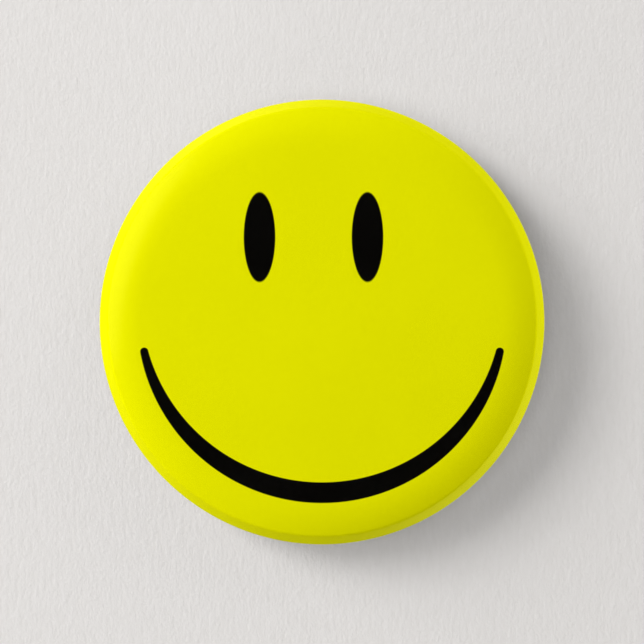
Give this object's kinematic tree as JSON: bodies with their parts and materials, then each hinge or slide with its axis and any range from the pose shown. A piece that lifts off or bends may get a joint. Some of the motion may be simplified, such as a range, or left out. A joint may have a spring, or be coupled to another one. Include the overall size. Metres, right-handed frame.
{
  "type": "button badge",
  "caption": "Round domed button badge: film-covered printed face on a curled metal shell, with a hinged bar pin and a turning safety catch behind.",
  "frame": {"origin": "on the badge's own axis, in the plane where the back of the curled rim lies against the cloth", "axes": "upright as worn: the face looks along -Y, the pin is behind it along +Y, +Z is the top of the face, and +X is to the right of someone looking at the face"},
  "size_m": [0.0572, 0.0093, 0.0572],
  "materials": {
    "film": "clear, smooth",
    "printed_paper": "printed paper, yellow with black print",
    "shell_tinplate": "bright tinplate",
    "back_tinplate": "bright tinplate, fine rolling grain",
    "nickel_plate": "nickel plate",
    "spring_steel": "drawn wire, polished",
    "rivet_steel": "satin"
  },
  "bodies": {
    "badge": {"clear_film": "film", "printed_disc": "printed_paper", "front_shell": "shell_tinplate", "back_plate": "back_tinplate", "pin_base": "nickel_plate", "rivet_left": "rivet_steel", "rivet_right": "rivet_steel", "hinge_rivet": "rivet_steel"},
    "stem": {"pin_stem": "spring_steel"},
    "catch": {"catch_collar": "nickel_plate"}
  },
  "joints": [
    {"name": "stem_hinge", "type": "hinge", "parent": "badge", "child": "stem", "pos_m": [0.0124, 0.0013, 0.006], "axis": [0, 0, -1], "range_deg": [0, 100]},
    {"name": "catch_turn", "type": "hinge", "parent": "badge", "child": "catch", "pos_m": [-0.012, 0.0013, 0.006], "axis": [1, 0, 0], "range_deg": [0, 120]}
  ]
}
